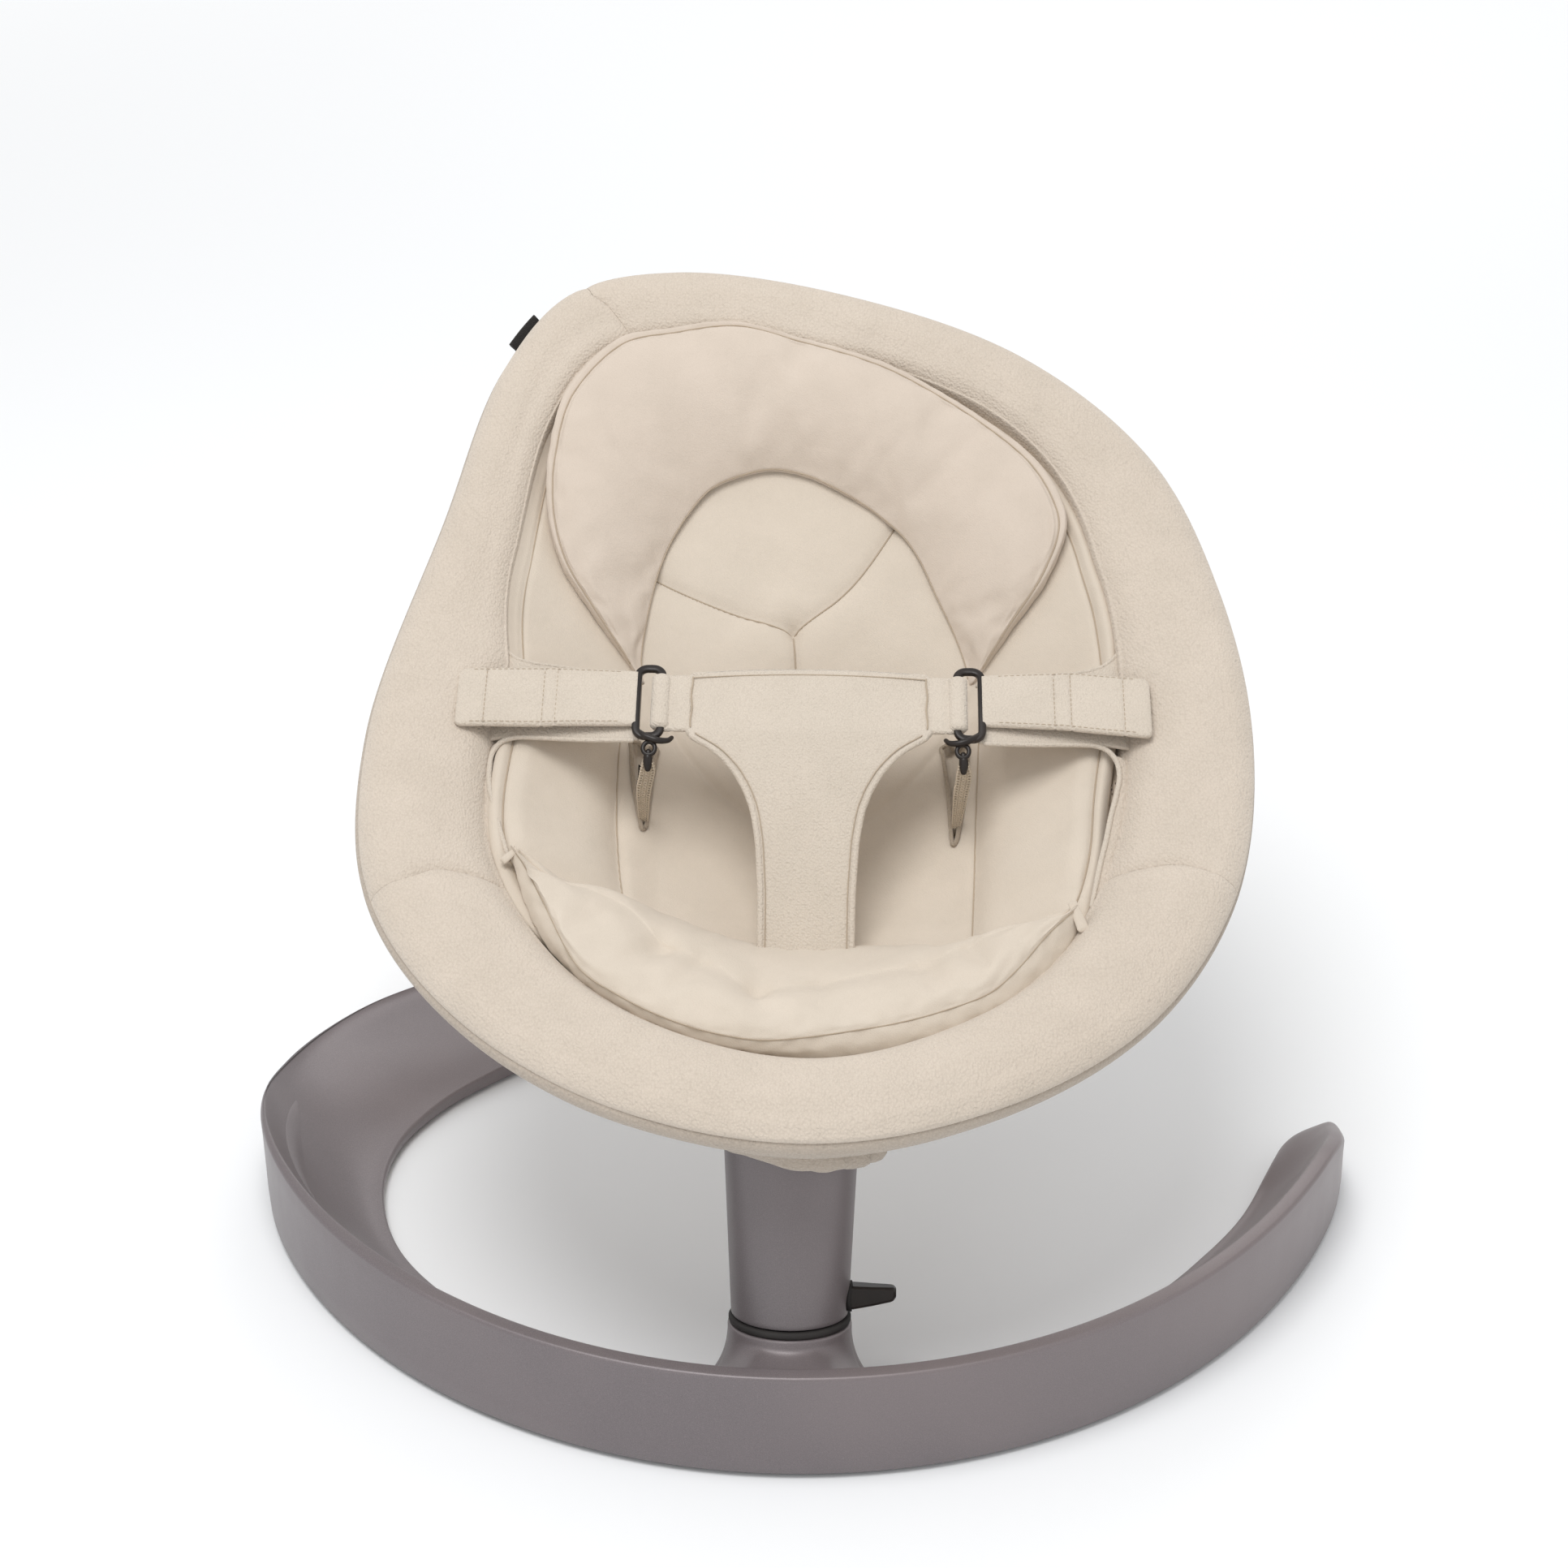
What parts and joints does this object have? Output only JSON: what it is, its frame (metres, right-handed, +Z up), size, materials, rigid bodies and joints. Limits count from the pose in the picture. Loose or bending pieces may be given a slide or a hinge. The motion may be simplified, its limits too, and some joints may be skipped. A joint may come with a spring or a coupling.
{
  "type": "bouncer seat",
  "caption": "Leaf-shaped padded infant bouncer seat with a soft harness, swaying on a leaning post above a crescent floor base.",
  "frame": {"origin": "on the floor under the middle of the whole object", "axes": "+Z up, the foot of the seat and the post face -Y, the head is towards +Y, +X is the right-hand side seen from the foot"},
  "size_m": [0.6462, 0.5844, 0.4586],
  "materials": {
    "base_paint": "satin",
    "post_paint": "satin",
    "hoop_alloy": "satin",
    "steel": "satin",
    "dark_nylon": "matte",
    "bearing_nylon": "matte",
    "rubber": "matte",
    "cream_knit": "matte",
    "cream_quilt": "matte",
    "mesh_sling": "matte",
    "black_webbing": "matte"
  },
  "bodies": {
    "base": {"base_ring": "base_paint", "foot_pad_1": "rubber", "foot_pad_2": "rubber", "foot_pad_3": "rubber", "foot_pad_4": "rubber", "foot_pad_5": "rubber", "foot_pad_6": "rubber", "collar_seal": "rubber", "sway_spindle": "steel", "spindle_nut": "steel", "spindle_bolt": "steel", "brake_disc": "steel"},
    "swing": {"post_tube": "post_paint", "lower_bearing": "bearing_nylon", "upper_bearing": "bearing_nylon", "lever_pivot_pin": "steel", "hub_yoke": "dark_nylon", "recline_pin": "steel", "recline_quadrant": "steel"},
    "lock_lever": {"lock_lever": "dark_nylon"},
    "lock_shoe": {"brake_shoe": "rubber"},
    "seat": {"seat_frame_hoop": "hoop_alloy", "rim_cover_foot": "cream_knit", "rim_cover_right": "cream_knit", "rim_cover_left": "cream_knit", "sling": "mesh_sling", "insert_pad": "cream_quilt", "bolster": "cream_quilt", "head_pillow": "cream_quilt", "under_cover": "cream_quilt", "seat_bracket": "dark_nylon", "seat_arm_left": "hoop_alloy", "seat_arm_right": "hoop_alloy", "foot_strut": "hoop_alloy", "recline_lever_pin": "steel", "crotch_pad": "cream_knit", "ring_left": "dark_nylon", "ring_right": "dark_nylon", "waist_strap_left": "cream_knit", "waist_strap_right": "cream_knit", "hook_left": "dark_nylon", "hook_right": "dark_nylon", "tether_left": "cream_quilt", "tether_right": "cream_quilt", "edge_tag": "black_webbing"},
    "recline_lever": {"recline_lever": "dark_nylon"},
    "recline_latch": {"recline_latch": "steel"},
    "waist_flap_left": {"waist_flap_left": "cream_knit"},
    "waist_flap_right": {"waist_flap_right": "cream_knit"}
  },
  "joints": [
    {"name": "sway", "type": "hinge", "parent": "base", "child": "swing", "pos_m": [-0.0042, -0.22348, 0.10159], "axis": [0, 0.342, 0.9397], "range_deg": [-18, 18]},
    {"name": "recline", "type": "hinge", "parent": "swing", "child": "seat", "pos_m": [-0.0042, -0.19441, 0.18146], "axis": [1, 0, 0], "range_deg": [0, 14]},
    {"name": "lock_lever", "type": "hinge", "parent": "swing", "child": "lock_lever", "pos_m": [0.0234, -0.23254, 0.07669], "axis": [0, 0.9397, -0.342], "range_deg": [0, 16]},
    {"name": "lock_shoe", "type": "slide", "parent": "swing", "child": "lock_shoe", "axis": [0, 0.342, 0.9397], "range_m": [0, 0.0022]},
    {"name": "recline_lever", "type": "hinge", "parent": "seat", "child": "recline_lever", "pos_m": [-0.0042, -0.14513, 0.15837], "axis": [1, 0, 0], "range_deg": [0, 12], "stiffness_Nm_per_rad": 0.5, "springref_deg": -11.46},
    {"name": "recline_latch", "type": "slide", "parent": "seat", "child": "recline_latch", "axis": [0, 0.9706, -0.2407], "range_m": [0, 0.0025]},
    {"name": "waist_flap_left", "type": "hinge", "parent": "seat", "child": "waist_flap_left", "pos_m": [-0.0989, 0.01317, 0.30438], "axis": [0, 0.9135, 0.4067], "range_deg": [0, 150]},
    {"name": "waist_flap_right", "type": "hinge", "parent": "seat", "child": "waist_flap_right", "pos_m": [0.1025, 0.01317, 0.30438], "axis": [0, -0.9135, -0.4067], "range_deg": [0, 150]}
  ],
  "couplings": [
    {"joint": "lock_shoe", "follows": "lock_lever", "m_per_rad": 0.0076},
    {"joint": "recline_latch", "follows": "recline_lever", "m_per_rad": 0.0119}
  ]
}
